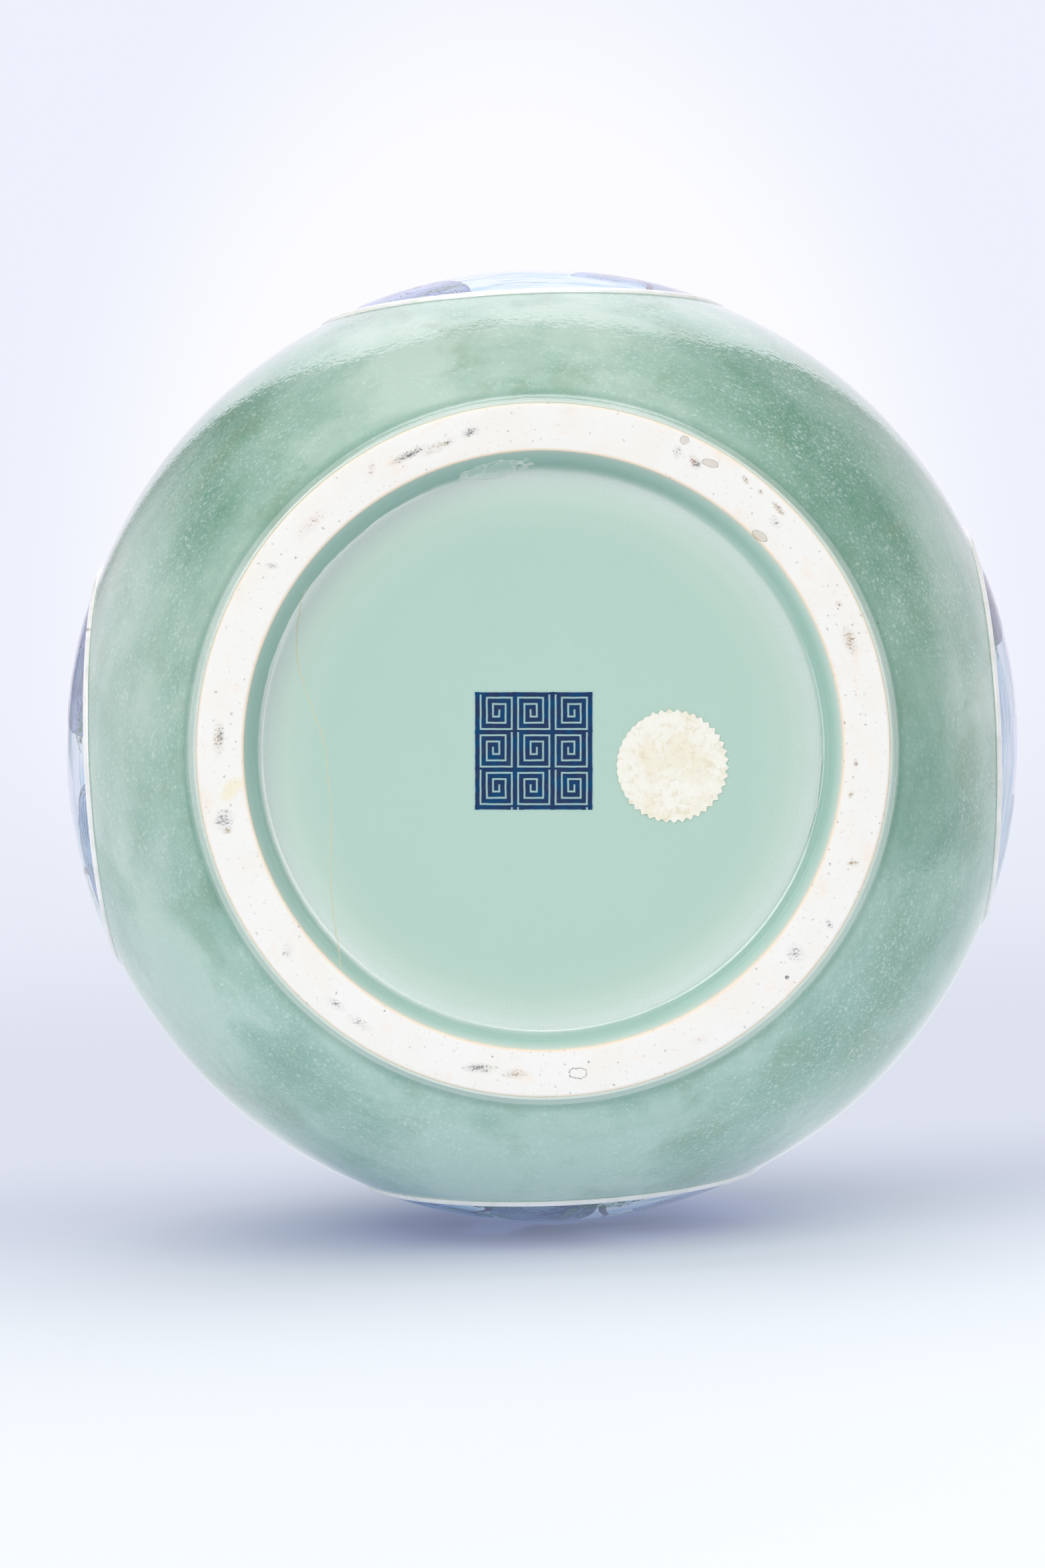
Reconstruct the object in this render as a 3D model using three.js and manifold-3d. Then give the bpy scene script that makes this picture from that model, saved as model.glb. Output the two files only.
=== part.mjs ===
// A large celadon-glazed porcelain vase with four raised medallions, as a three.js scene.
// It is built as such a vase is thrown: a foot ring, a base plate, two body sections, a neck and a
// mouth rim, luted together with slip at flat seams. Millimetres, +Z up, origin under the foot ring.
import * as THREE from "three";
import { mergeVertices } from "three/addons/utils/BufferGeometryUtils.js";
import Module from "manifold-3d";

// Driving dimensions of the body
const bodyRadius = 156;
const lowerBodyRise = 165; // vertical half-axis of the body below its widest level
const upperBodyRise = 150; // vertical half-axis of the body above it
const bodyWall = 7;

// Driving dimensions of the foot and the base
const footRimRadius = 104; // outer edge of the bare standing rim
const footRimWidth = 15;
const footHeight = 7; // height of the foot's outer wall
const footFlare = 3; // how much wider the foot is where it meets the body
const rimOuterRound = 2.2;
const rimInnerRound = 1.5;
const recessTaper = 4.3; // how much the recess narrows from the rim to the base
const basePlateThickness = 9;
const ledgeWidth = 7; // of the ledge in the lower body that carries the base plate
const ledgeThickness = 5;
const floorBlend = 11; // height over which the inner floor runs into the wall

// Driving dimensions of the neck and the mouth
const shoulderRadius = 70; // outer radius of the seam between body and neck
const neckRadius = 43; // at its waist
const waistAboveShoulder = 94;
const neckTopAboveWaist = 103;
const neckTopRadius = 50;
const neckTopFlare = THREE.MathUtils.degToRad(9);
const neckWall = 6;
const lipHeight = 17;
const lipFlare = 5;

// Driving dimensions of the medallions and the paper label
const medallionCount = 4;
const medallionRadius = 64.5;
const medallionRelief = 0.4; // how far the painted field stands proud of the body
const borderWidth = 2.4;
const borderRelief = 0.9;
const bedDepth = 1.6; // depth of the bed cut in the body for medallion and border
const labelRadius = 16.9;
const labelTeeth = 42;
const labelToothDepth = 1.1;
const labelThickness = 0.2;
const labelPlace = new THREE.Vector2(38.5, 6.5);

// The ridge of slip that is left inside where the two body sections are luted together
const ridgeHalfHeight = 9;
const ridgeBulge = 3;

// Clearances and facets
const seatGap = 0.3;
const pasteGap = 0.1;
const turns = 48; // facets round the vase
const quarterFacets = 12; // facets of a body curve from its pole to its widest level
const neckSteps = 5;
const smallSteps = 3; // facets of a small round or blend
const handleShare = 0.3; // reach of a blend's handles, as a share of its span

// Levels and radii that follow from them
const footTopRadius = footRimRadius + footFlare;
const widestLevel = footHeight + lowerBodyRise * Math.sqrt(1 - (footTopRadius / bodyRadius) ** 2);
const shoulderAngle = Math.acos(shoulderRadius / bodyRadius);
const shoulderLevel = widestLevel + upperBodyRise * Math.sin(shoulderAngle);
const waistLevel = shoulderLevel + waistAboveShoulder;
const neckTopLevel = waistLevel + neckTopAboveWaist;
const innerRadius = bodyRadius - bodyWall;
const innerLowerRise = lowerBodyRise - bodyWall;
const innerUpperRise = upperBodyRise - bodyWall;
const innerShoulderAngle = Math.asin((shoulderLevel - widestLevel) / innerUpperRise);
const recessRadius = footRimRadius - footRimWidth;
const baseRadius = recessRadius - recessTaper; // radius of the base seen inside the recess
const recessDepth = footHeight + ledgeThickness;
const recessRadiusAtFootTop = recessRadius - (recessTaper * footHeight) / recessDepth;
const seatRadius = baseRadius + ledgeWidth;
const plateTop = recessDepth + basePlateThickness;
const floorAngle = Math.asin((plateTop + floorBlend - widestLevel) / innerLowerRise);
const ridgeReach = ridgeHalfHeight / innerRadius;

const wasm = await Module();
wasm.setup();

function solidFrom(geometry) {
  const bare = geometry.clone();
  bare.deleteAttribute("normal");
  bare.deleteAttribute("uv");
  const merged = mergeVertices(bare, 1e-4);
  return new wasm.Manifold(
    new wasm.Mesh({
      numProp: 3,
      vertProperties: merged.attributes.position.array,
      triVerts: new Uint32Array(merged.index.array),
    }),
  );
}

function geometryFrom(solid) {
  const mesh = solid.getMesh();
  const geometry = new THREE.BufferGeometry();
  geometry.setAttribute("position", new THREE.BufferAttribute(mesh.vertProperties, 3));
  geometry.setIndex(new THREE.BufferAttribute(mesh.triVerts, 1));
  return geometry;
}

const point = (radius, level) => new THREE.Vector2(radius, level);
const upwards = point(0, 1);
const inwards = point(-1, 0);
const flare = point(Math.sin(neckTopFlare), Math.cos(neckTopFlare));

// Angles from one to another, in radians, through the whole facets between them and any extra ones.
function facetAngles(from, to, extra = []) {
  const facet = Math.PI / 2 / quarterFacets;
  const whole = Array.from({ length: 2 * quarterFacets + 1 }, (_, i) => (i - quarterFacets) * facet);
  const low = Math.min(from, to);
  const high = Math.max(from, to);
  const between = [...whole, ...extra].filter((angle) => angle > low && angle < high);
  const angles = [low, ...between, high].sort((a, b) => a - b);
  return from < to ? angles : angles.reverse();
}

// Points of an ellipse about the widest level at those angles.
function ellipseArc(halfWidth, halfHeight, from, to) {
  return facetAngles(from, to).map((angle) =>
    point(halfWidth * Math.cos(angle), widestLevel + halfHeight * Math.sin(angle)),
  );
}

// Unit direction of that ellipse at an angle, pointing upwards along the wall.
function ellipseDirection(halfWidth, halfHeight, angle) {
  return point(-halfWidth * Math.sin(angle), halfHeight * Math.cos(angle)).normalize();
}

// Inner wall from the widest level to an angle, with its share of the luting ridge.
function innerWall(halfHeight, to) {
  const ridgeAngles = [-1, -0.5, 0.5, 1].map((share) => share * ridgeReach);
  return facetAngles(0, to, ridgeAngles).map((angle) => {
    const share = Math.min(Math.abs(angle) / ridgeReach, 1);
    const bulge = ridgeBulge * Math.cos((share * Math.PI) / 2) ** 2;
    return point(innerRadius * Math.cos(angle) - bulge, widestLevel + halfHeight * Math.sin(angle));
  });
}

// Points of a curve between two points that leaves and arrives along the unit directions given.
function blend(start, leaving, end, arriving, steps) {
  const handle = start.distanceTo(end) * handleShare;
  const curve = new THREE.CubicBezierCurve(
    start,
    start.clone().addScaledVector(leaving, handle),
    end.clone().addScaledVector(arriving, -handle),
    end,
  );
  return curve.getPoints(steps);
}

// Points of a round about a centre, with its angles in quarter turns.
function round(centre, radius, from, to, steps) {
  return Array.from({ length: steps + 1 }, (_, i) => {
    const angle = ((from + ((to - from) * i) / steps) * Math.PI) / 2;
    return point(centre.x + radius * Math.cos(angle), centre.y + radius * Math.sin(angle));
  });
}

// Revolves an outline that is closed on itself, or starts and ends on the axis, about +Z.
function revolve(outline) {
  const closed = outline[0].x < 1e-9 ? outline : [...outline, outline[0]];
  return new THREE.LatheGeometry(closed, turns).rotateX(Math.PI / 2);
}

function joined(...runs) {
  return runs.flat().filter((p, i, all) => i === 0 || p.distanceTo(all[i - 1]) > 1e-6);
}

// Foot and base

function footRing() {
  const outer = point(footRimRadius - rimOuterRound, rimOuterRound);
  const inner = point(recessRadius + rimInnerRound, rimInnerRound);
  return revolve([
    ...round(outer, rimOuterRound, -1, 0, smallSteps),
    point(footTopRadius, footHeight),
    point(recessRadiusAtFootTop, footHeight),
    ...round(inner, rimInnerRound, 2, 3, smallSteps),
  ]);
}

function basePlate() {
  const edge = seatRadius - seatGap;
  return revolve([
    point(0, recessDepth),
    point(edge, recessDepth),
    point(edge, plateTop),
    point(0, plateTop),
  ]);
}

// Body sections

function lowerBodyOutline() {
  const outside = ellipseArc(bodyRadius, lowerBodyRise, -Math.acos(footTopRadius / bodyRadius), 0);
  const inside = innerWall(innerLowerRise, floorAngle);
  const down = ellipseDirection(innerRadius, innerLowerRise, floorAngle).negate();
  const floor = blend(inside.at(-1), down, point(seatRadius, plateTop), inwards, smallSteps);
  const seat = [
    point(seatRadius, recessDepth),
    point(baseRadius, recessDepth),
    point(recessRadiusAtFootTop, footHeight),
  ];
  return joined(outside, inside, floor, seat);
}

function upperBodyOutline() {
  const outside = ellipseArc(bodyRadius, upperBodyRise, 0, shoulderAngle);
  const inside = innerWall(innerUpperRise, innerShoulderAngle);
  return joined(outside, inside.reverse());
}

// Neck and mouth

// The neck leaves the shoulder along the body's own slope, outside and inside alike.
function neckRun(halfWidth, halfHeight, angle, waistRadius, topRadius) {
  const start = point(halfWidth * Math.cos(angle), shoulderLevel);
  const waist = point(waistRadius, waistLevel);
  const slope = ellipseDirection(halfWidth, halfHeight, angle);
  const root = blend(start, slope, waist, upwards, neckSteps);
  const rise = blend(waist, upwards, point(topRadius, neckTopLevel), flare, neckSteps);
  return joined(root, rise);
}

function neckOutline() {
  const outside = neckRun(bodyRadius, upperBodyRise, shoulderAngle, neckRadius, neckTopRadius);
  const inside = neckRun(
    innerRadius,
    innerUpperRise,
    innerShoulderAngle,
    neckRadius - neckWall,
    neckTopRadius - neckWall,
  );
  return joined(outside, inside.reverse());
}

function mouthRim() {
  const rollRadius = neckWall / 2;
  const roll = point(neckTopRadius + lipFlare - rollRadius, neckTopLevel + lipHeight - rollRadius);
  const over = round(roll, rollRadius, 0, 2, 2 * smallSteps);
  const outside = blend(point(neckTopRadius, neckTopLevel), flare, over[0], upwards, smallSteps);
  const mouth = point(neckTopRadius - neckWall, neckTopLevel);
  const inside = blend(mouth, flare, over.at(-1), upwards, smallSteps);
  return revolve(joined(outside, over, inside.reverse()));
}

// Medallions: the skins of the body at several depths are cut by one round cutter

function skin(offset) {
  const lower = ellipseArc(bodyRadius + offset, lowerBodyRise + offset, -Math.PI / 2, 0);
  const upper = ellipseArc(bodyRadius + offset, upperBodyRise + offset, 0, Math.PI / 2);
  return solidFrom(revolve(joined(lower, upper)));
}

// A cylinder as long as the body's radius, halfway through the wall on the -Y side.
function frontCutter(radius) {
  const cutter = new THREE.CylinderGeometry(radius, radius, bodyRadius, turns);
  return solidFrom(cutter.translate(0, -bodyRadius, widestLevel));
}

const bedFloor = skin(-bedDepth);
const seatFloor = skin(seatGap - bedDepth);
const borderInner = medallionRadius + seatGap;
const borderOuter = borderInner + borderWidth;
const bedRadius = borderOuter + seatGap;

const medallionGeometry = geometryFrom(
  skin(medallionRelief).subtract(seatFloor).intersect(frontCutter(medallionRadius)),
);
const borderGeometry = geometryFrom(
  skin(borderRelief)
    .subtract(seatFloor)
    .intersect(frontCutter(borderOuter))
    .subtract(frontCutter(borderInner)),
);

const bed = frontCutter(bedRadius).subtract(bedFloor);
const beds = Array.from({ length: medallionCount }, (_, i) =>
  bed.rotate([0, 0, (360 * i) / medallionCount]),
);

function withBeds(outline) {
  return geometryFrom(beds.reduce((body, cut) => body.subtract(cut), solidFrom(revolve(outline))));
}

// Paper label with a pinked edge, pasted under the base plate

function paperLabel() {
  const outline = Array.from({ length: labelTeeth * 2 }, (_, i) => {
    const radius = labelRadius - (i % 2) * labelToothDepth;
    const angle = (Math.PI * i) / labelTeeth;
    return point(radius * Math.cos(angle), radius * Math.sin(angle));
  });
  return new THREE.ExtrudeGeometry(new THREE.Shape(outline), {
    depth: labelThickness,
    bevelEnabled: false,
  });
}

// Finishes

const celadon = new THREE.MeshStandardMaterial({ color: 0x97bba6, roughness: 0.12 });
const paleGlaze = new THREE.MeshStandardMaterial({ color: 0xb9d6c8, roughness: 0.12 });
const biscuit = new THREE.MeshStandardMaterial({ color: 0xf3efe9, roughness: 0.75 });
const slip = new THREE.MeshStandardMaterial({ color: 0xeeeae2, roughness: 0.25 });
const painted = new THREE.MeshStandardMaterial({ color: 0xbfd0e2, roughness: 0.12 });
const paper = new THREE.MeshStandardMaterial({ color: 0xf0ecd9, roughness: 0.9 });

function piece(name, geometry, material) {
  const mesh = new THREE.Mesh(geometry, material);
  mesh.name = name;
  return mesh;
}

const vase = new THREE.Group();
vase.add(
  piece("foot_ring", footRing(), biscuit),
  piece("base_plate", basePlate(), paleGlaze),
  piece("lower_body", withBeds(lowerBodyOutline()), celadon),
  piece("upper_body", withBeds(upperBodyOutline()), celadon),
  piece("neck", revolve(neckOutline()), celadon),
  piece("mouth_rim", mouthRim(), celadon),
);

const sides = ["front", "right", "back", "left"];
for (let i = 0; i < medallionCount; i++) {
  const side = new THREE.Group();
  side.rotation.z = (2 * Math.PI * i) / medallionCount;
  side.add(
    piece(`${sides[i]}_medallion`, medallionGeometry, painted),
    piece(`${sides[i]}_border`, borderGeometry, slip),
  );
  vase.add(side);
}

const label = piece("paper_label", paperLabel(), paper);
label.position.set(labelPlace.x, labelPlace.y, recessDepth - pasteGap - labelThickness);
vase.add(label);

export default vase;
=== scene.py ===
import math
from functools import partialmethod

import bpy
import numpy as np
from mathutils import Matrix, Vector


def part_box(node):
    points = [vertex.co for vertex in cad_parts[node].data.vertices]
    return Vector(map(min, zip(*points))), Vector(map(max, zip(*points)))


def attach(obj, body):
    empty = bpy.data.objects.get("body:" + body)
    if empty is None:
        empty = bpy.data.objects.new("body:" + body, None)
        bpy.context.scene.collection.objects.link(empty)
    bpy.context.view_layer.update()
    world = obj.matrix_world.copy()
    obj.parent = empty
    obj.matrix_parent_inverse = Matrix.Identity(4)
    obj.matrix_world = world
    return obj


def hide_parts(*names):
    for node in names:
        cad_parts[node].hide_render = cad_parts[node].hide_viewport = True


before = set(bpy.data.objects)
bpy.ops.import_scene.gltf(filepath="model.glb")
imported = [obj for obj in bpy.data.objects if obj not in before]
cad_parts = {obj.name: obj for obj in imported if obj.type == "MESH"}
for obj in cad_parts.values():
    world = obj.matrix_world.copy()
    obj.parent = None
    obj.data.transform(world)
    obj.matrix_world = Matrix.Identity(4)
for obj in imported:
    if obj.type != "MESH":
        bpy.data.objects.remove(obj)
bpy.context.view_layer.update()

mm = 0.001

# The vase's curve in millimetres, with its levels read from the frame
vase = {
    "radius": 156.0,
    "lowerRise": 165.0,
    "upperRise": 150.0,
    "wall": 7.0,
    "footTop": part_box("foot_ring")[1].z / mm,
    "widest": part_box("lower_body")[1].z / mm,
    "shoulder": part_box("upper_body")[1].z / mm,
    "neckTop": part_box("neck")[1].z / mm,
    "lipTop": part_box("mouth_rim")[1].z / mm,
    "shoulderRadius": 70.0,
    "waistRadius": 43.0,
    "waistAbove": 94.0,
    "neckTopRadius": 50.0,
    "neckFlare": 9.0,
    "neckWall": 6.0,
    "lipFlare": 5.0,
    "turns": 224,
}


# Outlines are lists of (radius, height) in millimetres

def ellipsePoint(halfWidth, halfHeight, angle):
    return halfWidth * math.cos(angle), vase["widest"] + halfHeight * math.sin(angle)


def ellipseRun(halfWidth, halfHeight, start, end, steps):
    return [ellipsePoint(halfWidth, halfHeight, start + (end - start) * i / steps) for i in range(steps + 1)]


def ellipseSlope(halfWidth, halfHeight, angle):
    return Vector((-halfWidth * math.sin(angle), halfHeight * math.cos(angle))).normalized()


def roundRun(centre, radius, start, end, steps):  # angles in degrees
    angles = [math.radians(start + (end - start) * i / steps) for i in range(steps + 1)]
    return [(centre[0] + radius * math.cos(a), centre[1] + radius * math.sin(a)) for a in angles]


def blendRun(start, leaving, end, arriving, steps, reach=0.3):  # a curve with set directions at both ends
    a, d = Vector(start), Vector(end)
    handle = (d - a).length * reach
    b, c = a + Vector(leaving) * handle, d - Vector(arriving) * handle
    points = []
    for i in range(steps + 1):
        t = i / steps
        p = a * (1 - t) ** 3 + b * 3 * t * (1 - t) ** 2 + c * 3 * t * t * (1 - t) + d * t ** 3
        points.append((p.x, p.y))
    return points


def wallRadius(height):  # outer radius of the body at a height
    rise = np.where(height < vase["widest"], vase["lowerRise"], vase["upperRise"])
    share = (height - vase["widest"]) / rise
    return vase["radius"] * np.sqrt(np.clip(1 - share * share, 0, 1))


# Modelling helpers

def clearSelection():
    if bpy.context.object and bpy.context.object.mode != "OBJECT":
        bpy.ops.object.mode_set(mode="OBJECT")
    bpy.ops.object.select_all(action="DESELECT")


def pick(piece):
    clearSelection()
    piece.select_set(True)
    bpy.context.view_layer.objects.active = piece


def applyPlace():  # leaves the object at the origin, unturned and unscaled
    bpy.ops.object.transform_apply(location=True, rotation=True, scale=True)


def startEdit(action="SELECT"):
    bpy.ops.object.mode_set(mode="EDIT")
    bpy.ops.mesh.select_all(action=action)


def endEdit():  # with every face turned outwards
    bpy.ops.mesh.select_all(action="SELECT")
    bpy.ops.mesh.normals_make_consistent(inside=False)
    bpy.ops.object.mode_set(mode="OBJECT")


def mergeDoubles():
    bpy.ops.mesh.select_all(action="SELECT")
    bpy.ops.mesh.remove_doubles(threshold=0.002 * mm)
    bpy.ops.mesh.select_all(action="SELECT")


def readPoints(piece):
    points = np.empty(3 * len(piece.data.vertices))
    piece.data.vertices.foreach_get("co", points)
    return points.reshape(-1, 3)


def movePoints(piece, points):
    piece.data.vertices.foreach_set("co", points.ravel())
    piece.data.update()


def spinOutline(name, outline):  # draws the outline edge by edge and spins it about the vase's axis
    clearSelection()
    radius, height = outline[0]
    bpy.ops.mesh.primitive_plane_add(size=mm, location=(radius * mm, 0, height * mm))
    piece = bpy.context.object
    piece.name = name
    applyPlace()
    startEdit()
    bpy.ops.mesh.merge(type="CENTER")
    for (r0, h0), (r1, h1) in zip(outline, outline[1:] + outline[:1]):
        step = ((r1 - r0) * mm, 0, (h1 - h0) * mm)
        bpy.ops.mesh.extrude_vertices_move(TRANSFORM_OT_translate={"value": step})
    mergeDoubles()
    bpy.ops.mesh.spin(steps=vase["turns"], angle=2 * math.pi, center=(0, 0, 0), axis=(0, 0, 1))
    mergeDoubles()
    endEdit()
    return piece


def smooth(piece, degrees=40):
    pick(piece)
    bpy.ops.object.shade_smooth_by_angle(angle=math.radians(degrees))


def settle(piece, slot, material, *nodes):
    piece.data.materials.clear()
    piece.data.materials.append(material)
    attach(piece, "root")
    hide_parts(*nodes)
    print("made", piece.name, len(piece.data.polygons), "faces")


# Shader maths: a Wire is one socket that can be added, multiplied and so on

class Wire:
    def __init__(self, finish, socket):
        self.finish = finish
        self.socket = socket

    def math(self, operation, *others):
        return self.finish.node("ShaderNodeMath", {"operation": operation}, self, *others)

    def __rsub__(self, other):
        return self.finish.node("ShaderNodeMath", {"operation": "SUBTRACT"}, other, self)

    __add__ = __radd__ = partialmethod(math, "ADD")
    __mul__ = __rmul__ = partialmethod(math, "MULTIPLY")
    __sub__ = partialmethod(math, "SUBTRACT")
    __truediv__ = partialmethod(math, "DIVIDE")
    __pow__ = partialmethod(math, "POWER")
    __abs__ = partialmethod(math, "ABSOLUTE")
    above = partialmethod(math, "GREATER_THAN")
    least = partialmethod(math, "MINIMUM")
    most = partialmethod(math, "MAXIMUM")
    whole = partialmethod(math, "FLOOR")

    def rises(self, low, high):  # 0 below low, 1 above high, smooth between
        settings = {"interpolation_type": "SMOOTHSTEP"}
        return self.finish.node("ShaderNodeMapRange", settings, Value=self, From_Min=low, From_Max=high)

    def falls(self, low, high):
        return 1 - self.rises(low, high)

    def band(self, low, rise, fall, high):  # 1 from rise to fall, 0 below low and above high
        return self.rises(low, rise) * self.falls(fall, high)


class Finish:  # the nodes of one material; its paints are looked up by name
    def __init__(self, tree, paints, material=None):
        self.tree, self.paints, self.material = tree, paints, material
        self.colour = None
        tree.nodes.clear()

    def node(self, kind, settings=None, *values, give=0, **named):
        made = self.tree.nodes.new(kind)
        for key, value in (settings or {}).items():
            if key == "stops":
                ramp = made.color_ramp
                while len(ramp.elements) < len(value):
                    ramp.elements.new(0.5)
                for element, (position, colour) in zip(ramp.elements, value):
                    element.position = position
                    element.color = (*colour, 1.0)
            elif key == "points":
                curve = made.mapping.curves[0].points
                while len(curve) < len(value):
                    curve.new(0.5, 0.5)
                for point, spot in zip(curve, value):
                    point.location = spot
                made.mapping.update()
            else:
                setattr(made, key, value)
        for key, value in [*enumerate(values), *named.items()]:
            socket = made.inputs[key.replace("_", " ") if isinstance(key, str) else key]
            if isinstance(value, Wire):
                self.tree.links.new(value.socket, socket)
            elif value is not None:
                socket.default_value = value
        return Wire(self, made.outputs[give])

    def place(self):  # the shaded point on the object, in metres
        return self.node("ShaderNodeTexCoord", give="Object")

    def parts(self, vector):
        split = self.node("ShaderNodeSeparateXYZ", None, vector).socket.node
        return [Wire(self, output) for output in split.outputs]

    def millimetres(self, place):
        return self.parts(self.stretched(place, (1 / mm, 1 / mm, 1 / mm)))

    def vector(self, x, y, z):
        return self.node("ShaderNodeCombineXYZ", None, x, y, z)

    def stretched(self, vector, scale, turn=(0, 0, 0)):
        return self.node("ShaderNodeMapping", None, vector, (0, 0, 0), turn, scale)

    def warped(self, vector, place, scale, reach):  # pushed about by up to reach millimetres
        push = self.noise(place, scale, 3, give="Color")
        push = self.node("ShaderNodeVectorMath", {"operation": "SCALE"}, push, Scale=reach * mm)
        return self.node("ShaderNodeVectorMath", {"operation": "ADD"}, vector, push)

    def framed(self, vector, centre, half, turn=0.0):  # from -1 to 1 across a turned box, in metres
        return self.node("ShaderNodeMapping", {"vector_type": "TEXTURE"}, vector, centre, (0, 0, turn), half)

    def near(self, vector, centre, half, turn=0.0):  # 1 at the centre, 0 at the ellipse's edge and beyond
        local = self.framed(vector, centre, half, turn)
        away = self.node("ShaderNodeVectorMath", {"operation": "LENGTH"}, local, give="Value")
        return (1 - away).most(0.0)

    def patch(self, place, pixel, half, turn=0, height=0, deep=9000):  # the same over a pixel of the picture
        long, wide = half  # in millimetres, as height and deep
        size = (long * mm, wide * mm, deep * mm)
        return self.near(place, fromPicture(*pixel, height), size, math.radians(turn))

    def noise(self, vector, scale, detail=3.0, rough=0.5, warp=0.0, give=0):
        sockets = {"Scale": scale, "Detail": detail, "Roughness": rough, "Distortion": warp}
        return self.node("ShaderNodeTexNoise", None, Vector=vector, give=give, **sockets)

    def cells(self, vector, scale, give="Distance", feature="F1"):
        return self.node("ShaderNodeTexVoronoi", {"feature": feature}, Vector=vector, Scale=scale, give=give)

    def chance(self, vector, scale):  # three numbers from 0 to 1 that differ from cell to cell
        return self.parts(self.cells(vector, scale, "Color"))

    def mix(self, factor, a, b, mode="MIX"):
        mixer = self.node("ShaderNodeMix", {"data_type": "RGBA", "blend_type": mode}, give=2).socket.node
        for index, value in ((0, factor), (6, a), (7, b)):
            if isinstance(value, str):
                value = self.paints[value]
            if isinstance(value, Wire):
                self.tree.links.new(value.socket, mixer.inputs[index])
            else:
                mixer.inputs[index].default_value = value if index == 0 else (*value, 1.0)
        return Wire(self, mixer.outputs[2])

    def paint(self, mask, tone):  # lays a tone over the colour so far
        self.colour = self.mix(mask, self.colour, tone)

    def mixed(self, factor, a, b):  # a number between two others
        return (1 - factor) * a + factor * b

    def ray(self, kind):
        return self.node("ShaderNodeLightPath", give=kind)

    def close(self, shader, kind="ShaderNodeOutputMaterial"):
        output = self.tree.nodes.new(kind)
        self.tree.links.new(shader.socket, output.inputs["Surface"])
        return self.material

    def either(self, share, first, second):
        return self.node("ShaderNodeMixShader", None, share, first, second)

    def shownWhere(self, mask, lit):  # clear elsewhere, and from behind
        front = 1 - self.node("ShaderNodeNewGeometry", give="Backfacing")
        return self.close(self.either(mask * front, self.node("ShaderNodeBsdfTransparent"), lit))

    def surface(self, fixed, *relief):  # relief: heights from 0 to 1, each with its depth in millimetres
        normal = None
        for height, depth in relief:
            normal = self.node("ShaderNodeBump", None, Height=height, Distance=depth * mm, Normal=normal)
        shader = self.node("ShaderNodeBsdfPrincipled", None, Base_Color=self.colour, Normal=normal)
        for key, value in fixed.items():
            shader.socket.node.inputs[key].default_value = value
        return self.close(shader)


def newFinish(name, paints):
    material = bpy.data.materials.new(name)
    material.use_nodes = True
    return Finish(material.node_tree, paints, material)


def seen(red, green, blue):  # a colour as it looks on a screen, 0 to 255, as linear values
    shares = np.array((red, green, blue)) / 255
    linear = np.where(shares <= 0.04045, shares / 12.92, ((shares + 0.055) / 1.055) ** 2.4)
    return tuple(float(v) for v in linear)


# Camera: straight below the foot, with the front of the vase at the top of the picture
camera = {
    "lens": 85.0,
    "sensor": 36.0,
    "pictureWidth": 1568,
    "pictureHeight": 2352,
    "distance": 1101.6,
    "footRight": 6.15,
    "footUp": 9.9,
    "leanUp": 1.21,
    "leanRight": 0.12,
    "roll": 2.6,
}


def addCamera():
    lean = [math.tan(math.radians(camera[key])) for key in ("leanRight", "leanUp")]
    axis = Vector((*lean, -1)).normalized()
    roll = math.radians(camera["roll"])
    front = Vector((-math.sin(roll), math.cos(roll), 0))
    back = -(front - axis * front.dot(axis)).normalized()
    turn = Matrix((back.cross(axis), back, axis))  # from the camera's axes to the vase's
    footPlace = Vector((camera["footRight"], camera["footUp"], -camera["distance"])) * mm
    bpy.ops.object.camera_add()
    lens = bpy.context.object
    lens.name = "studioCamera"
    lens.data.lens = camera["lens"]
    lens.data.sensor_width = camera["sensor"]
    lens.data.clip_start = 0.01
    lens.matrix_world = Matrix.LocRotScale(turn @ -footPlace, turn.to_quaternion(), None)
    bpy.context.scene.camera = lens
    bpy.context.scene.view_settings.view_transform = "Standard"
    print("camera at", [round(v, 3) for v in lens.matrix_world.translation])


def fromPicture(across, down, height):  # the point at a height that a pixel of the picture shows, in metres
    lens = bpy.context.scene.camera.matrix_world
    pixels = camera["lens"] / camera["sensor"] * camera["pictureHeight"]
    right = (across - camera["pictureWidth"] / 2) / pixels
    up = (camera["pictureHeight"] / 2 - down) / pixels
    ray = lens.to_3x3() @ Vector((right, up, -1))
    return lens.translation + ray * ((height * mm - lens.translation.z) / ray.z)


# Body: one glazed wall from the edge of the foot up to the lip and down inside
body = {
    "glazeEdge": 103.5,  # where the glaze stops at the bare rim
    "glazeEdgeHeight": 0.75,
    "skin": 0.35,
    "footTopRadius": 107.0,
    "floorTop": 21.0,
    "floorRadius": 91.7,
    "floorThickness": 8.9,
    "plateRadius": 87.3,
    "floorBlend": 11.0,
    "footLap": 0.012,  # how far up the belly starts, in radians
    "wallInset": (0.75, 1.5),
    "seatGap": 0.05,
    "seatInset": 1.2,
    "steps": {"outside": 48, "inside": 24, "waist": 24, "neck": 16, "lip": 16, "bend": 8, "foot": 6},
}


def neckRun(half, rise, angle, inset=0):  # from the shoulder over the waist to the top of the neck
    turn = math.radians(vase["neckFlare"])
    up, flare = (0, 1), (math.sin(turn), math.cos(turn))
    start = (half * math.cos(angle), vase["shoulder"])
    waist = (vase["waistRadius"] - inset, vase["shoulder"] + vase["waistAbove"])
    top = (vase["neckTopRadius"] - inset, vase["neckTop"])
    run = blendRun(start, ellipseSlope(half, rise, angle), waist, up, body["steps"]["waist"])
    return run + blendRun(waist, up, top, flare, body["steps"]["neck"]), flare


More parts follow.
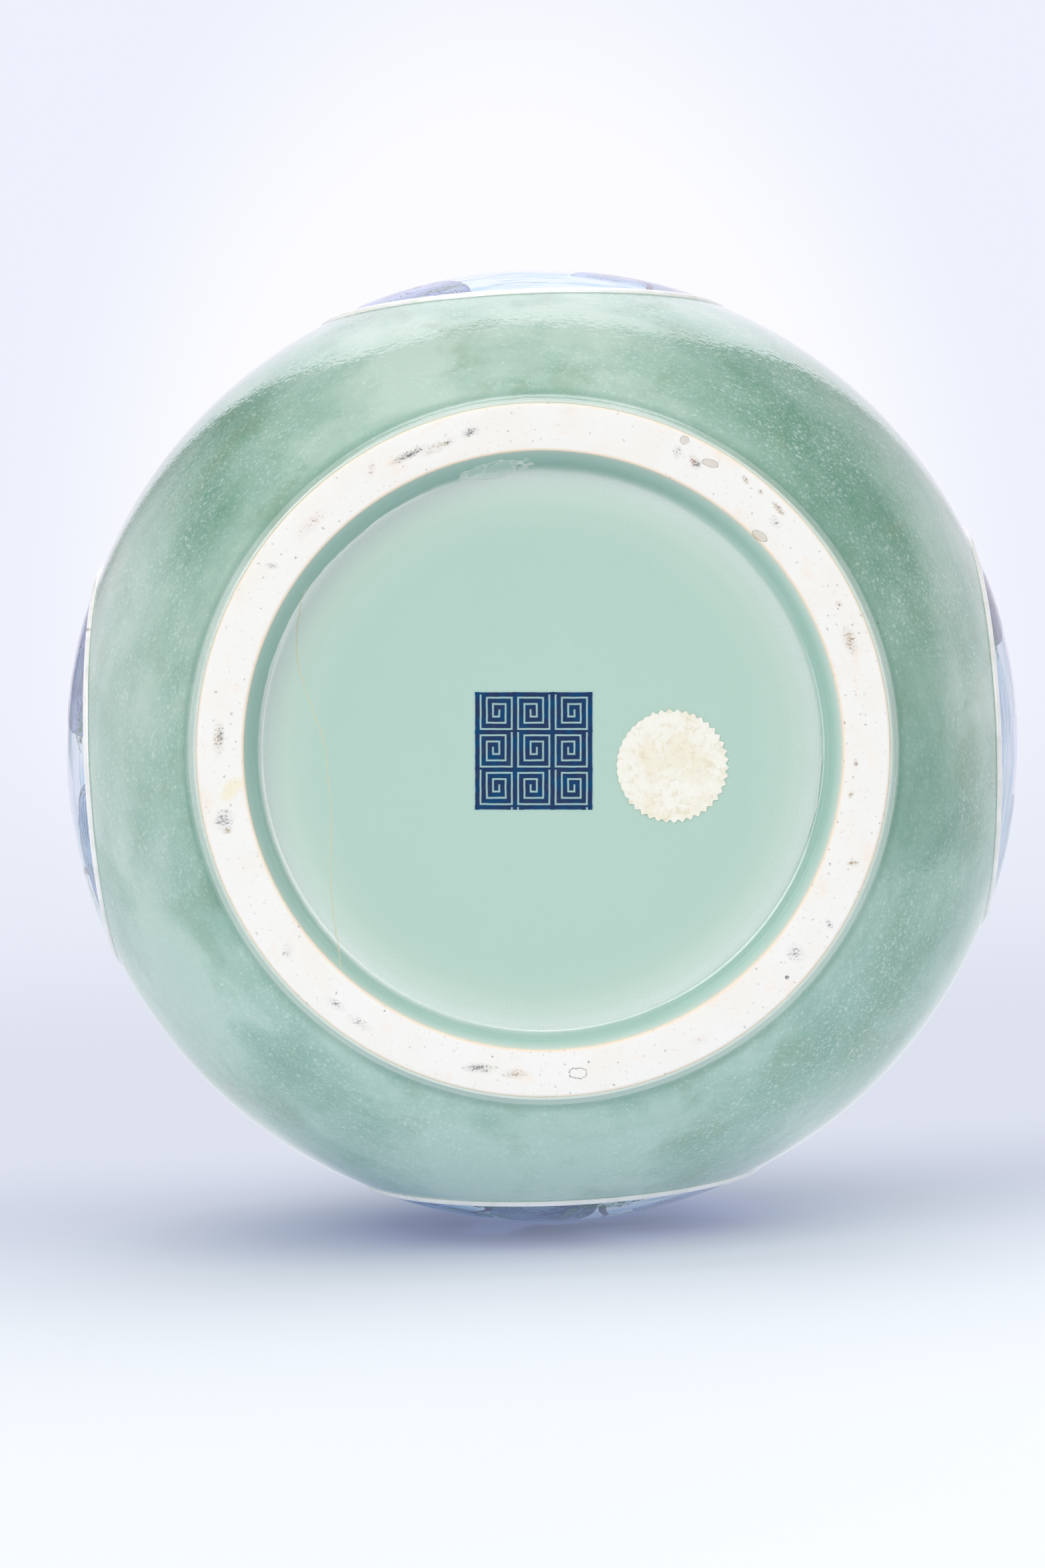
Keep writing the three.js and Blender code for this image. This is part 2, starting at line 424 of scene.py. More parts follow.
def bodyOutline():
    radius, lower, upper = vase["radius"], vase["lowerRise"], vase["upperRise"]
    wall, neckWall, steps = vase["wall"], vase["neckWall"], body["steps"]
    footAngle = body["footLap"] - math.acos(body["footTopRadius"] / radius)
    shoulderAngle = math.acos(vase["shoulderRadius"] / radius)
    edge, low = body["glazeEdge"], body["glazeEdgeHeight"]
    steep, upright = (0.25, 0.97), (0.1, 1.0)
    roll = blendRun((edge, low), (1, -0.1), (edge + 1.0, low + 1.2), steep, 5, 0.5)  # the glaze's thick edge
    inset, drop = body["wallInset"]
    wallFoot = (body["footTopRadius"] - inset, vase["footTop"] - drop)
    footWall = roll + blendRun(roll[-1], steep, wallFoot, upright, steps["foot"])
    bellyFoot, slope = ellipsePoint(radius, lower, footAngle), ellipseSlope(radius, lower, footAngle)
    corner = blendRun(wallFoot, upright, bellyFoot, slope, steps["bend"], 0.4)
    outside = ellipseRun(radius, lower, footAngle, 0, steps["outside"])
    outside += ellipseRun(radius, upper, 0, shoulderAngle, steps["outside"])

    inRadius, inLower, inUpper = radius - wall, lower - wall, upper - wall
    inShoulder = math.asin((vase["shoulder"] - vase["widest"]) / inUpper)
    neckOut, flare = neckRun(radius, upper, shoulderAngle)
    neckIn, flare = neckRun(inRadius, inUpper, inShoulder, neckWall)
    rollCentre = (vase["neckTopRadius"] + vase["lipFlare"] - neckWall / 2, vase["lipTop"] - neckWall / 2)
    over = roundRun(rollCentre, neckWall / 2, 0, 180, steps["lip"])
    lipOut = blendRun(neckOut[-1], flare, over[0], (0, 1), steps["bend"])
    lipIn = blendRun(neckIn[-1], flare, over[-1], (0, 1), steps["bend"])

    floorAngle = math.asin((body["floorTop"] + body["floorBlend"] - vase["widest"]) / inLower)
    inside = ellipseRun(inRadius, inUpper, inShoulder, 0, steps["inside"])
    inside += ellipseRun(inRadius, inLower, 0, floorAngle, steps["inside"])
    down = -ellipseSlope(inRadius, inLower, floorAngle)
    floor = blendRun(inside[-1], down, (body["floorRadius"], body["floorTop"]), (-1, 0), steps["bend"])
    plateBottom, seatLevel = body["floorTop"] - body["floorThickness"], vase["footTop"] + body["seatGap"]
    seat = [
        (body["floorRadius"], plateBottom),
        (body["plateRadius"], plateBottom),
        (body["plateRadius"], seatLevel),
        (body["footTopRadius"] - body["seatInset"], seatLevel),
        (edge - body["skin"], low + 0.2),
    ]
    runs = footWall + corner + outside + neckOut + lipOut + over + lipIn[::-1] + neckIn[::-1]
    runs += inside + floor + seat
    return [p for i, p in enumerate(runs) if i == 0 or math.dist(p, runs[i - 1]) > 0.01]


def addBody():
    piece = spinOutline("glazedBody", bodyOutline())
    smooth(piece, 35)
    settle(piece, "celadon_glaze", celadonGlaze(), "lower_body", "upper_body", "neck", "mouth_rim")


celadon = {
    "deep": seen(116, 160, 140),
    "middle": seen(153, 188, 172),
    "pale": seen(188, 211, 198),
    "olive": seen(134, 162, 134),
    # painted reflected light from the white sheet: a bluer tint on that side
    "sheetLightTint": (0.97, 1.05, 1.07),
    "speck": seen(218, 238, 230),
    "iron": seen(120, 112, 66),
    "edge": seen(238, 240, 232),
    # patches painted darker (above 0) or paler: pixel of the picture, millimetres, strength
    "clouds": [
        (330, 800, 44, 0.36), (440, 630, 34, 0.14), (1250, 760, 46, 0.42), (1130, 590, 32, 0.36),
        (1320, 1230, 30, 0.3), (1290, 1540, 42, 0.44), (640, 550, 36, -0.34), (230, 1120, 46, -0.12),
        (860, 530, 44, -0.6), (760, 1730, 60, -0.66), (300, 1420, 46, -0.5), (440, 1600, 28, 0.16),
        (1410, 1090, 36, -0.34), (1010, 1700, 40, -0.2), (430, 700, 24, -0.3), (1360, 1400, 30, 0.25),
    ],
    # patches with more bubbles: pixel of the picture and millimetres
    "bubbly": [
        (1290, 1380, 34), (1240, 1580, 44), (1090, 1700, 36), (640, 1690, 40), (400, 1560, 36),
        (1180, 640, 34), (1330, 900, 30), (784, 1715, 46),
    ],
    "level": {"height": 40, "deep": 60},  # where both lie
    "bubbles": [(1150, 0.56, 0.34), (740, 0.56, 0.44), (430, 0.46, 0.52)],  # in a metre, radius, strength
    "borderPool": (66.6, 67.4, 67.6, 69.2),  # from a medallion's middle
}


def celadonGlaze():
    m = newFinish("celadonGlaze", celadon)
    place = m.place()
    x, y, z = m.millimetres(place)

    # broad soft clouds with wisps in them, and streaks that run round the body
    clouds = m.noise(place, 17, 4, 0.5, 0.3)
    wisps = m.noise(place, 75, 5, 0.6, 0.7)
    streaks = m.noise(m.stretched(place, (14, 14, 36), (0.25, 0.2, 0)), 1.7, 4, 0.55, 0.2)
    depth = (clouds - 0.5) * 1.5 + (streaks - 0.5) * 0.9 + (wisps - 0.5) * 0.55 + 0.5
    for across, down, size, tone in celadon["clouds"]:
        cloud = m.patch(place, (across, down), (size, size), **celadon["level"])
        depth = depth + cloud.rises(0, 1) * tone
    m.colour = m.mix(depth.rises(0.0, 0.62), "pale", "middle")
    m.paint(depth.rises(0.45, 1.15), "deep")
    m.paint(m.noise(place, 34, 4, 0.6, 0.4).rises(0.52, 0.72) * 0.5, "olive")
    # painted reflected light: the side towards the white sheet is tinted bluer
    m.paint(y.rises(-40, 100), m.mix(1.0, m.colour, "sheetLightTint", "MULTIPLY"))

    # soft pale bubbles of several sizes under the surface, thicker where the glaze is deep
    thick = depth.rises(-0.2, 0.8) * 0.4 + m.noise(place, 48, 3).rises(0.34, 0.6) * 0.5
    for across, down, size in celadon["bubbly"]:
        bubbly = m.patch(place, (across, down), (size, size), **celadon["level"])
        thick = thick + bubbly.rises(0, 0.8) * 0.4
    for count, radius, strength in celadon["bubbles"]:
        spots = m.stretched(place, (count, count, count), (0.4, count / 900, 0.2))
        bubble = m.cells(spots, 1.0).falls(0.0, radius) * m.chance(spots, 1.0)[0].rises(0.1, 1.0)
        m.paint(bubble * thick * strength, "speck")
    beads = m.stretched(place, (330, 330, 330), (0.7, 0.2, 0.5))
    chosen = m.chance(beads, 1.0)[1].rises(0.55, 0.75)
    m.paint(m.cells(beads, 1.0).falls(0.0, 0.26) * chosen * thick * 0.55, "speck")
    m.paint(m.noise(place, 1100, 2, 0.6).rises(0.5, 0.8) * thick * 0.22, "speck")

    # a few open bubbles and iron spots
    m.paint(m.cells(place, 95).band(0.02, 0.03, 0.035, 0.05) * 0.6, "speck")
    m.paint(m.cells(m.stretched(place, (1, 1, 1), (0.4, 0.9, 0.2)), 44).falls(0.01, 0.018), "iron")

    # it pools in a dark line outside each slip border
    side = abs(x).least(abs(y))
    ring = (side * side + (z - vase["widest"]) ** 2) ** 0.5
    m.paint(ring.band(*celadon["borderPool"]) * 0.6, "deep")

    # it runs thin on the foot's wall, at its edge and at the lip, and pools in the corner over the foot; the
    # foot wall's pale band is stronger on the side towards the white sheet, a painted reflection of it
    across = (x * x + y * y) ** 0.5
    onFoot = across.above(100)
    wall = z.falls(4.6, 6.0) * onFoot * across.falls(106.6, 107.2)
    m.paint(wall * (0.4 + y.rises(-20, 80) * 0.35), "pale")
    lip = z.rises(vase["lipTop"] - 4.5, vase["lipTop"] - 1.2)
    m.paint(z.falls(1.4, 2.2) * onFoot * 0.5 + lip * 0.75, "edge")
    m.paint(z.band(4.8, 5.8, 8, 11) * across.falls(106.9, 109.5) * 0.4, "deep")

    # orange peel, fine enough to ripple the edges of what the glaze mirrors
    peel = [(m.noise(place, 24, 2), 0.05), (m.noise(place, 130, 2), 0.04), (m.noise(place, 480, 2), 0.1)]
    return m.surface({"Roughness": 0.05}, *peel, (m.cells(place, 360).rises(0.03, 0.3), 0.03))


# Foot: the bare biscuit rim that the vase stands on
foot = {
    "outer": 103.4,
    "inner": 89.2,
    "edgeRound": 1.0,
    "topOuter": 105.7,
    "topInner": 88.6,
    "clay": seen(243, 242, 238),
    "warm": seen(242, 237, 227),
    "burn": seen(250, 228, 202),
    "blush": seen(248, 226, 206),
    "soot": seen(92, 92, 98),
    "rust": seen(150, 96, 66),
    "tan": seen(170, 150, 118),
    "yellow": seen(238, 226, 170),
    # kiln grit: pixel of the picture, half length and half width in millimetres, turn, colour, strength
    "grit": [
        (612, 683, 6.0, 1.6, -24, "soot", 1.0), (672, 664, 1.6, 0.8, -20, "soot", 1.0),
        (705, 648, 2.8, 1.6, -16, "soot", 1.0), (655, 671, 6.5, 2.0, -22, "tan", 0.7),
        (557, 705, 1.2, 3.4, 10, "rust", 0.5), (466, 787, 6.5, 2.4, -44, "rust", 0.4),
        (408, 849, 2.0, 1.0, 10, "soot", 0.9), (1016, 678, 1.4, 2.4, 0, "soot", 0.7),
        (1041, 692, 1.4, 2.4, -20, "rust", 1.0), (1046, 697, 1.4, 1.8, -20, "soot", 0.9),
        (1119, 720, 1.0, 1.8, -35, "tan", 1.0), (1141, 738, 0.9, 1.2, -35, "tan", 1.0),
        (1168, 763, 2.8, 1.1, 48, "tan", 1.3), (1164, 783, 2.2, 1.8, 45, "soot", 0.5),
        (328, 1108, 1.9, 6.0, 4, "tan", 0.9), (332, 1104, 1.0, 4.0, 4, "soot", 0.7),
        (336, 1230, 3.0, 3.8, 20, "soot", 0.8), (341, 1246, 1.6, 1.3, 20, "tan", 1.1),
        (296, 1187, 0.7, 0.8, 0, "rust", 1.0), (432, 1426, 1.8, 3.0, 20, "soot", 0.5),
        (504, 1506, 3.6, 1.6, 35, "soot", 0.6), (540, 1535, 4.5, 1.8, 35, "soot", 0.5),
        (718, 1602, 5.0, 1.7, 4, "soot", 0.95), (773, 1611, 4.2, 1.8, 5, "tan", 0.8),
        (1050, 1560, 2.4, 1.6, -20, "rust", 0.4), (1275, 961, 2.2, 5.4, -14, "tan", 0.9),
        (1277, 1192, 0.8, 1.3, 20, "tan", 1.3), (1284, 1145, 0.7, 1.8, 0, "rust", 0.9),
        (1280, 1295, 1.9, 1.2, 0, "tan", 1.1), (1244, 1386, 1.0, 2.0, -30, "soot", 0.9),
        (1194, 1430, 3.2, 3.0, 40, "soot", 0.6), (1181, 1466, 0.7, 0.7, 0, "soot", 2.5),
        (1259, 906, 1.2, 1.2, 0, "rust", 0.9), (350, 1180, 3.6, 6.0, 38, "yellow", 0.0),
    ],
    "grown": (1.25, 1.1),  # how much larger its halves are taken
    "stain": (348, 1182, 3.4, 6.5, 38),
    "kissMark": (867, 1610, 3.4, 2.0),
    "chips": [(1066, 695, 3.4, 1.6, 18), (1140, 804, 3.4, 1.7, 35), (1027, 660, 1.8, 1.8, 0)],
}


def addFoot():
    edge = foot["edgeRound"]
    outline = roundRun((foot["outer"] - edge, edge), edge, -90, 0, 6)
    outline += [(foot["topOuter"], vase["footTop"]), (foot["topInner"], vase["footTop"])]
    outline += roundRun((foot["inner"] + edge, edge), edge, 180, 270, 6)
    outline += [(foot["inner"] + 5, 0), (foot["outer"] - 5, 0)]
    piece = spinOutline("footRim", outline)
    smooth(piece, 40)
    settle(piece, "foot_biscuit", biscuit(), "foot_ring")


def biscuit():
    m = newFinish("biscuit", foot)
    place = m.place()
    x, y, _ = m.millimetres(place)
    across = (x * x + y * y) ** 0.5
    grain = m.noise(place, 500, 4, 0.6)
    clouds = m.noise(place, 60, 3)
    m.colour = m.mix(clouds.rises(0.4, 0.7) * 0.5, "clay", "warm")

    # burn lines where the clay met the glaze in the fire
    wander = (m.noise(place, 45, 3) - 0.5) * 1.2 + (grain - 0.5) * 0.5
    broad, fine = across + wander, across + wander * 0.25
    m.paint(broad.falls(89.3, 90.6) * 0.3, "burn")
    m.paint(broad.rises(102.5, 103.3) * 0.2, "burn")
    m.paint(fine.falls(89.7, 90.0).most(fine.rises(102.7, 103.1)) * 0.6, "burn")

    # blushes, scratches and specks that lie along the rim
    lane = m.warped(m.vector(y.math("ARCTAN2", x) * 0.096, across * 0.002, 0.0), place, 300, 2)
    m.paint(m.noise(lane, 70, 4, 0.65).rises(0.56, 0.74) * 0.4, "blush")
    m.paint(m.noise(m.stretched(lane, (0.3, 1.3, 1)), 700, 4, 0.7).rises(0.65, 0.77) * 0.2, "tan")
    chance = m.chance(lane, 300)
    fleck = m.cells(lane, 300).falls(0.06, 0.2) * chance[0].above(0.993)
    m.paint(fleck * 0.6, m.mix(chance[1].rises(0.4, 0.9), "rust", "soot"))

    # kiln grit, rubbed into the rim in streaks
    crumbs = m.noise(m.stretched(place, (1, 1, 1), (0, 0, 0.4)), 1500, 4, 0.8)
    streaks = m.noise(m.stretched(place, (0.45, 1.6, 1), (0, 0, 0.35)), 620, 5, 0.75)
    rough = crumbs * 0.5 + streaks * 0.5
    longer, wider = foot["grown"]
    for right, down, long, wide, turn, tone, strength in foot["grit"]:
        closeness = m.patch(place, (right, down), (longer * long, wider * wide), turn)
        mask = (rough + closeness * 0.2 * strength - 0.56).rises(0, 0.14) * closeness.rises(0, 0.4)
        haze = closeness * 0.4 * strength * crumbs
        m.paint((mask * crumbs.rises(0.3, 0.62)).most(haze), tone)
    right, down, long, wide, turn = foot["stain"]
    stain = m.patch(place, (right, down), (long, wide), turn)
    m.paint((stain + (clouds - 0.5)).rises(0.1, 0.7) * 0.4, "yellow")

    # one thin ring left by a drop, and three small chips
    right, down, long, wide = foot["kissMark"]
    drop = m.patch(place, (right, down), (long, wide)) + (m.noise(place, 700, 3) - 0.5) * 0.6
    m.paint(drop.band(0.08, 0.16, 0.2, 0.34) * crumbs.rises(0.36, 0.56) * 0.75, "soot")
    chipped = 0.0
    for right, down, long, wide, turn in foot["chips"]:
        chip = m.patch(place, (right, down), (long, wide), turn)
        chipped = (chip + (rough - 0.5) * 0.8).rises(0.25, 0.32) + chipped
    m.paint(chipped * 0.35, "tan")

    # sparse dark pinpricks
    m.paint(m.cells(place, 130).falls(0.02, 0.035) * m.chance(place, 130)[0].above(0.86) * 0.7, "rust")

    turning = m.noise(m.vector(across * 0.9, 0.0, 0.0), 1.0, 2)
    return m.surface({"Roughness": 0.75}, (grain, 0.05), (turning, 0.02), (1 - chipped, 0.25))


# Base: the glazed dish inside the foot, with its wall, its curved edge and the flat that carries the mark
base = {
    "wallFoot": 89.3,
    "wallFootHeight": 0.7,
    "wallTop": 86.5,
    "flat": 12.0,
    "corner": 3.4,
    "rings": (81, 77, 70, 60, 45, 30, 15, 0),
    "edge": 91.3,
    "seat": 86.95,
    "seatGap": 0.15,
    "top": 21.0,
    "bands": [  # radius in millimetres and glaze colour
        # paler towards the wall where the glaze thins, with a painted highlight along the bend near 84 mm;
        # darker on the wall from pooled glaze and painted shade
        (0.0, seen(187, 215, 203)),
        (64.0, seen(186, 214, 202)),
        (73.0, seen(192, 217, 205)),
        (79.6, seen(210, 228, 218)),
        (82.6, seen(224, 236, 231)),
        (84.1, seen(224, 236, 230)),
        (85.0, seen(186, 212, 202)),
        (86.0, seen(168, 204, 191)),
        (87.3, seen(174, 209, 197)),
        (88.3, seen(196, 219, 210)),
        (89.0, seen(216, 226, 215)),
        (89.35, seen(246, 230, 210)),
    ],
    "lean": (0.9, 0.2),  # how far the bands sit off the centre, in millimetres
    "cloud": seen(196, 222, 208),
    "freckle": seen(160, 196, 182),
    "shade": seen(126, 168, 158),  # painted shade on the recess wall's front left, the side turned away from the light
    "hairline": {  # by pixel of the picture: from the top down, the line's place across; fade in millimetres
        "top": 880, "bottom": 1450, "left": 430, "right": 560, "fade": (0.1, 0.3),
        "across": [470, 452, 449, 462, 482, 502, 508, 514, 513, 512, 516, 524, 538],
    },
    "crack": seen(214, 212, 180),
    "flake": {"pixel": (745, 705), "half": (14.0, 2.8), "turn": -7.0},
    "plate": seen(206, 228, 220),
    "plateEdge": seen(240, 243, 236),
    "dirt": seen(140, 116, 72),
    # where the lifted edges start and end, in radians round the base
    "lifts": [(-3.05, -2.8, -2.05, -1.85), (0.04, 0.1, 0.34, 0.42)],
    "liftRadius": 84.6,
    "lifted": seen(232, 240, 232),
}

# The mark under the base is a plain key fret of nine square spirals
mark = {
    "pixel": (801.5, 1127),
    "cell": 11.3,
    "cells": 3,
    "turnsPerCell": 3,
    "line": 1.5,
    "inkFade": (0.36, 0.58),  # shares of the line's width
    "haloFade": (0.4, 1.1),
    "ink": seen(0, 28, 84),
    "thinInk": seen(0, 66, 112),
    "halo": seen(120, 168, 186),
}


def addBase():
    flat, corner, wallFoot, low = base["flat"], base["corner"], base["wallFoot"], base["wallFootHeight"]
    wallTop = (base["wallTop"], flat - corner)
    wall = [(wallFoot, low), (wallFoot - 0.5, low + 0.5)]
    bend = blendRun(wallTop, (-0.25, 0.97), (wallTop[0] - corner, flat), (-1, 0), 12, 0.5)
    disc = [(radius, flat) for radius in base["rings"]]
    ledge = flat + base["seatGap"]
    back = [(0, base["top"]), (base["edge"], base["top"]), (base["edge"], ledge)]
    back += [(base["seat"], ledge), (base["seat"], vase["footTop"]), (wallFoot + 0.2, low + 0.3)]
    piece = spinOutline("glazedBase", wall + bend + disc + back)
    smooth(piece, 40)
    settle(piece, "base_glaze", baseGlaze(), "base_plate")


def fret(m, place):  # ink and halo of the mark
    cell, line, half = mark["cell"], mark["line"], mark["cell"] * mark["cells"] / 2
    centre = fromPicture(*mark["pixel"], base["flat"])
    local = m.framed(place, centre, (mm, mm, mm), math.radians(camera["roll"]))
    u, v, _ = m.parts(m.warped(local, place, 300, 250))
    reach = abs(u).most(abs(v))
    column, row = ((u + half) / cell).whole(), ((v + half) / cell).whole()
    flip = 1 - (column + row).math("FLOORED_MODULO", 2.0) * 2  # every other spiral is mirrored
    a = (u + half - (column + 0.5) * cell) * flip
    b = v + half - (row + 0.5) * cell
    pitch = cell / 2 / mark["turnsPerCell"]
    low = b * -1
    under = low.above(a) * (low - pitch).above(a * -1) * (low - pitch).above(b)
    index = (a.most(b).most(a * -1) * (1 - under) + low * under) / pitch
    away = abs((index + 0.5).math("FRACT") - 0.5) * pitch
    inkFade, haloFade = [[line * share for share in mark[key]] for key in ("inkFade", "haloFade")]
    ink = away.falls(*inkFade) * reach.falls(half + line / 2 - 0.05, half + line / 2 + 0.1)
    halo = away.falls(*haloFade) * reach.falls(half + 0.3, half + 1.6)
    return ink, halo


def hairline(m, place):  # a crack down the left of the base
    line, flat = base["hairline"], base["flat"]
    top = fromPicture(line["left"], line["top"], flat)
    bottom = fromPicture(line["right"], line["bottom"], flat)
    size = (abs(bottom.x - top.x), abs(bottom.y - top.y), 1)
    u, v, _ = m.parts(m.framed(place, top, size, math.radians(camera["roll"])))
    count, width = len(line["across"]) - 1, line["right"] - line["left"]
    points = [(i / count, (px - line["left"]) / width) for i, px in enumerate(line["across"])]
    course = m.node("ShaderNodeFloatCurve", {"points": points}, 1.0, v)
    away = abs(u - course + (m.noise(place, 400, 3) - 0.5) * 0.05) * size[0]
    return away.falls(*(mm * reach for reach in line["fade"])) * v.band(-0.02, 0.03, 0.97, 1.02)


def baseGlaze():
    m = newFinish("baseGlaze", {**base, **mark})
    place = m.place()
    x, y, _ = m.millimetres(place)
    uneven = (m.noise(place, 42, 3) - 0.5) * 1.0 + (m.noise(place, 260, 3) - 0.5) * 0.5
    right, down = x + base["lean"][0], y - base["lean"][1]
    across = (x * x + y * y) ** 0.5
    across = m.mixed(across.rises(85.5, 86.5), (right * right + down * down) ** 0.5 + uneven, across)
    stops = [(radius / 100, colour) for radius, colour in base["bands"]]
    m.colour = m.node("ShaderNodeValToRGB", {"stops": stops}, across / 100)
    m.paint((m.noise(place, 24, 3) - 0.35) * 0.35, "cloud")
    m.paint(m.noise(place, 1500, 2).rises(0.45, 0.7) * 0.12, "freckle")
    # painted shade on the recess wall, strongest on its front left, away from the light
    ahead = (x * -0.75 + y * -0.66) / across
    m.paint(across.rises(84.2, 86) * ahead.rises(-0.5, 0.9) * 0.5, "shade")

    # the mark, sunk a little into the glaze
    ink, halo = fret(m, place)
    density = m.noise(place, 240, 3)
    m.paint(halo * 0.4, "halo")
    m.paint(ink * (density * 0.16 + 0.88), m.mix(density.rises(0.4, 0.7), "ink", "thinInk"))
    m.paint(hairline(m, place) * 0.75, "crack")

    # plates of glaze lifted by a kiln flake at the top edge
    flake = base["flake"]
    lump = m.patch(place, flake["pixel"], flake["half"], flake["turn"], base["flat"])
    turn = (0, 0, math.radians(flake["turn"]))
    ragged = m.warped(m.stretched(place, (0.55, 1, 0.001), turn), place, 220, 3)
    outline = lump + (m.noise(place, 150, 3) - 0.5) * 1.2 * lump.rises(0.0, 0.1)
    sheet = outline.rises(0.26, 0.3)
    tone = m.chance(ragged, 190)[0]
    rim = m.cells(ragged, 190, "Distance", "DISTANCE_TO_EDGE").falls(0.01, 0.05) * sheet
    m.paint(sheet * (tone * 0.6 + 0.2), "plate")
    m.paint((rim * 0.35).most(outline.band(0.2, 0.27, 0.27, 0.36) * 0.75), "plateEdge")
    dirt = m.cells(place, 700).falls(0.1, 0.24) * lump.rises(0.15, 0.5)
    m.paint(dirt * m.noise(place, 330, 2).rises(0.52, 0.62) * 0.7, "dirt")

    # edges where the glaze has lifted, with the wall's shade under them
    ring = across + (m.noise(place, 90, 4, 0.6) - 0.5) * 1.6 - base["liftRadius"]
    bearing = y.math("ARCTAN2", x)
    run = 0.0
    for lift in base["lifts"]:
        run = bearing.band(*lift) + run
    m.paint((ring - 0.2).rises(0, 0.1) * ring.falls(0.5, 1.6) * run * 0.35, "shade")
    m.paint(abs(ring).falls(0.12, 0.34) * run * 0.7, "lifted")

    waves = [(m.noise(place, 30, 2), 0.25), (m.noise(place, 420, 2), 0.008)]
    return m.surface({"Roughness": 0.06}, *waves, (sheet * (tone * 0.5 + 0.5), 0.3))


# Medallions and their slip borders, modelled flat at the front and laid on the body
medallion = {
    "radius": 64.5,
    "relief": 0.5,
    "depth": 1.3,
    "border": 2.4,
    "borderRelief": 1.1,
    "gap": 0.2,
    "cells": 300,
    "sides": ("front", "right", "back", "left"),
    "pavilion": -12,
}


def layOnBody(piece):  # moves each point out along -Y by the body's depth there
    points = readPoints(piece)
    around = wallRadius(points[:, 2] / mm) * mm
    points[:, 1] -= np.sqrt(np.clip(around ** 2 - points[:, 0] ** 2, 0, None))
    movePoints(piece, points)


def turned(piece, name, quarter):
    pick(piece)
    bpy.ops.object.duplicate()
    copy = bpy.context.object
    copy.name = name
    copy.rotation_euler.z = quarter * math.pi / 2
    applyPlace()
    return copy


def addField():
    clearSelection()
    radius, middle, cells = medallion["radius"] * mm, vase["widest"] * mm, medallion["cells"]
    bpy.ops.mesh.primitive_grid_add(
        x_subdivisions=cells, y_subdivisions=cells, size=2 * radius,
        location=(0, 0, middle), rotation=(math.pi / 2, 0, 0),
    )
    field = bpy.context.object
    applyPlace()
    points = readPoints(field)
    across, up = points[:, 0] / radius, (points[:, 2] - middle) / radius
    points[:, 0] = across * np.sqrt(1 - up * up / 2) * radius  # the square grid is drawn into a disc
    points[:, 2] = up * np.sqrt(1 - across * across / 2) * radius + middle
    points[:, 1] = -medallion["relief"] * mm
    movePoints(field, points)
    startEdit("DESELECT")
    bpy.ops.mesh.select_mode(type="VERT")
    bpy.ops.mesh.select_non_manifold()
    bpy.ops.mesh.extrude_region_move(TRANSFORM_OT_translate={"value": (0, medallion["depth"] * mm, 0)})
    bpy.ops.mesh.edge_face_add()
    endEdit()
    flat = readPoints(field) / mm
    layOnBody(field)
    smooth(field, 50)
    return field, flat[:, 0], flat[:, 2] - vase["widest"]


def addBead():
    clearSelection()
    half = medallion["border"] / 2
    ring = (medallion["radius"] + medallion["gap"] + half) * mm
    bpy.ops.mesh.primitive_torus_add(
        major_radius=ring, minor_radius=half * mm, major_segments=256, minor_segments=16,
        location=(0, 0, vase["widest"] * mm), rotation=(math.pi / 2, 0, 0),
    )
    bead = bpy.context.object
    applyPlace()
    for vertex in bead.data.vertices:
        vertex.co.y *= medallion["borderRelief"] / half
    layOnBody(bead)
    smooth(bead, 60)
    return bead


# The panels are painted with made-up river landscapes, worked out point by point in millimetres from the
# middle of each disc: washes go into one colour attribute, brush lines, leaves and blossom into another
enamels = {
    "ground": seen(226, 234, 243),
    "mist": seen(200, 218, 238),
    "farHill": seen(128, 166, 206),
    "nearHill": seen(84, 134, 184),
    "rock": seen(48, 94, 150),
    "deepRock": seen(30, 58, 104),
    "rockPale": seen(158, 194, 222),
    "violet": seen(134, 148, 196),
    "water": seen(148, 192, 224),
    "moss": seen(142, 178, 150),
    "line": seen(30, 46, 100),
    "wood": seen(92, 78, 84),
    "leafDark": seen(34, 66, 62),
    "leafLight": seen(84, 132, 96),
    "petal": seen(226, 140, 160),
    "petalPale": seen(244, 206, 212),
    "petalHeart": seen(180, 60, 92),
}

